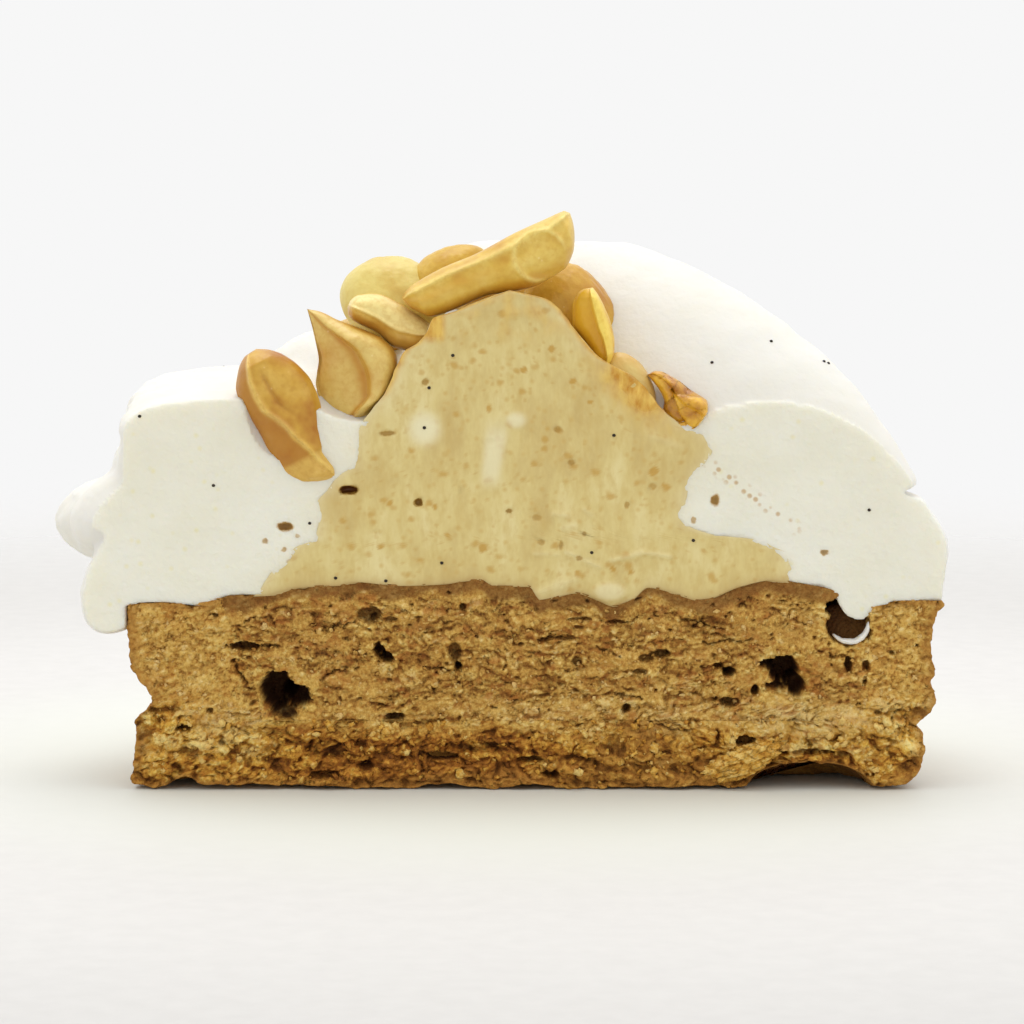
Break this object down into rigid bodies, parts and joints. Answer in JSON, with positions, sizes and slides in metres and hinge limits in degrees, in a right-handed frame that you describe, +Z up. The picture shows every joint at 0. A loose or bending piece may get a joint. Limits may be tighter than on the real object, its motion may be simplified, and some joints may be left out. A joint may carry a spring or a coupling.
{
  "type": "tart slice",
  "caption": "Half of a small round peanut tart cut through its middle: shortcrust shell, baked sponge filling, peanut cream dome, whipped cream petals and roasted peanuts on top.",
  "frame": {"origin": "under the middle of the whole slice, on the surface that it stands on", "axes": "+Z up, the flat cut face looks along -Y, +X runs along the cut to the right as seen from the cut side"},
  "size_m": [0.0955, 0.049, 0.0606],
  "materials": {
    "crust": "dry, crumbly baked shortcrust",
    "baked_filling": "open baked crumb with a browned top skin",
    "peanut_cream": "smooth cut cream with fine nut flecks and a few bubbles",
    "whipped_cream": "soft white cream with fine bubbles and dark vanilla specks",
    "peanut": "roasted, slightly oily, satin",
    "caramel": "browned and sugary"
  },
  "bodies": {
    "root": {"tart_crust": "crust", "baked_filling": "baked_filling", "peanut_cream": "peanut_cream", "whipped_cream": "whipped_cream", "peanut_left": "peanut", "peanut_split": "peanut", "peanut_round": "peanut", "peanut_small": "peanut", "peanut_behind": "peanut", "peanut_top": "peanut", "peanut_right": "peanut", "peanut_edge": "peanut", "peanut_sunk": "peanut", "peanut_rear_left": "peanut", "peanut_rear": "peanut", "caramel_crumb": "caramel"}
  },
  "joints": []
}
